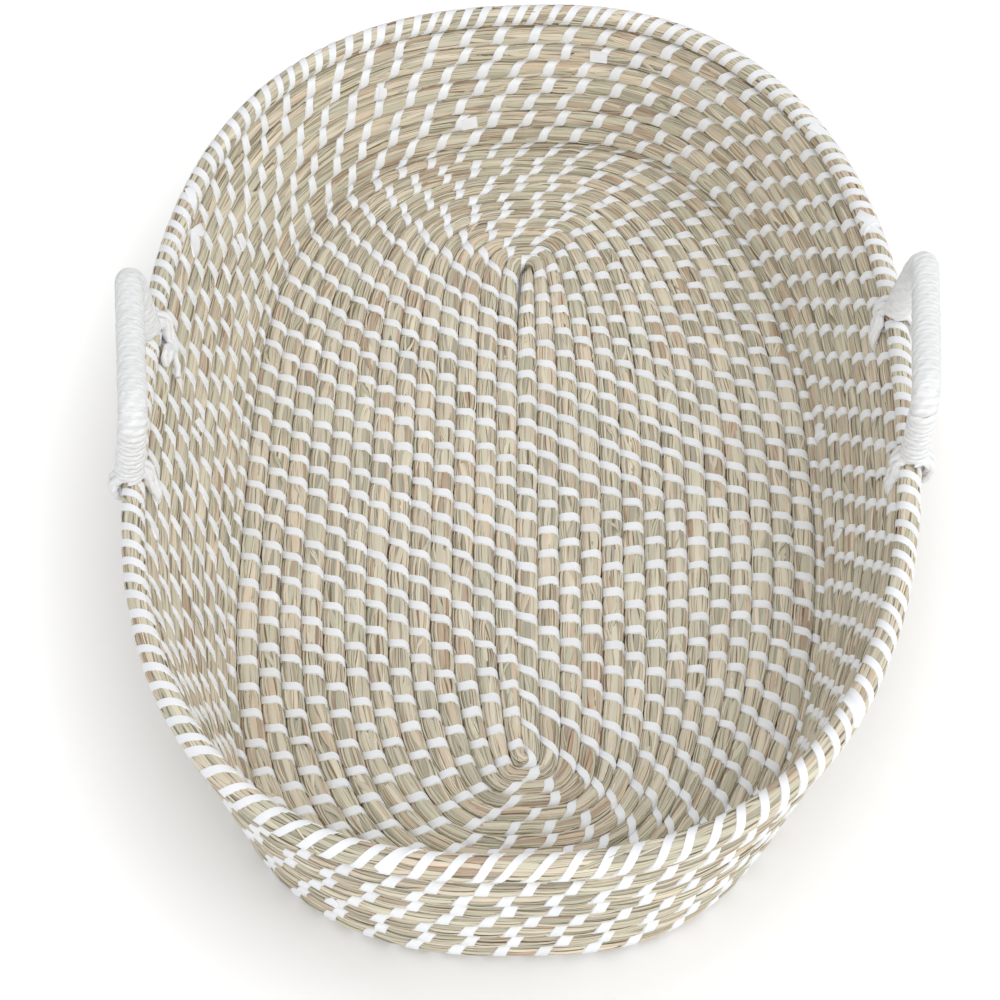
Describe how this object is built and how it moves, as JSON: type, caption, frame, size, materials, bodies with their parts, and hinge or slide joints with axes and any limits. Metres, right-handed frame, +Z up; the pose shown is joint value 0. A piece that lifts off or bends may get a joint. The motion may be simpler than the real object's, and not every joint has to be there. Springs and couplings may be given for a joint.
{
  "type": "baby changing basket",
  "caption": "Oval coiled seagrass changing basket with a flat base, a low flared wall, an overcast rim and a cord-wrapped rope handle on each long side.",
  "frame": {"origin": "on the surface that the basket stands on, below the middle of its base", "axes": "+X to the right across the basket, +Y along it away from the viewer, +Z up out of the mouth"},
  "size_m": [0.4799, 0.695, 0.1702],
  "materials": {
    "seagrass": "dry straw-coloured stems, matt",
    "cotton_cord": "white twisted cotton cord, matt",
    "binding_strip": "white flat strip, satin"
  },
  "bodies": {
    "basket": {"base_coil": "seagrass", "wall_coil": "seagrass", "rim_coil": "seagrass", "left_near_inner_lashing": "cotton_cord", "left_near_outer_lashing": "cotton_cord", "left_far_inner_lashing": "cotton_cord", "left_far_outer_lashing": "cotton_cord", "right_near_inner_lashing": "cotton_cord", "right_near_outer_lashing": "cotton_cord", "right_far_inner_lashing": "cotton_cord", "right_far_outer_lashing": "cotton_cord"},
    "left_handle": {"left_handle_rope": "cotton_cord", "left_handle_wrap": "cotton_cord"},
    "right_handle": {"right_handle_rope": "cotton_cord", "right_handle_wrap": "cotton_cord"}
  },
  "joints": [
    {"name": "left_handle_flop", "type": "hinge", "parent": "basket", "child": "left_handle", "pos_m": [-0.22212, -0.0135, 0.11515], "axis": [0, -1, 0], "range_deg": [-48, 54]},
    {"name": "right_handle_flop", "type": "hinge", "parent": "basket", "child": "right_handle", "pos_m": [0.22205, -0.0135, 0.11515], "axis": [0, 1, 0], "range_deg": [-64, 38]}
  ]
}
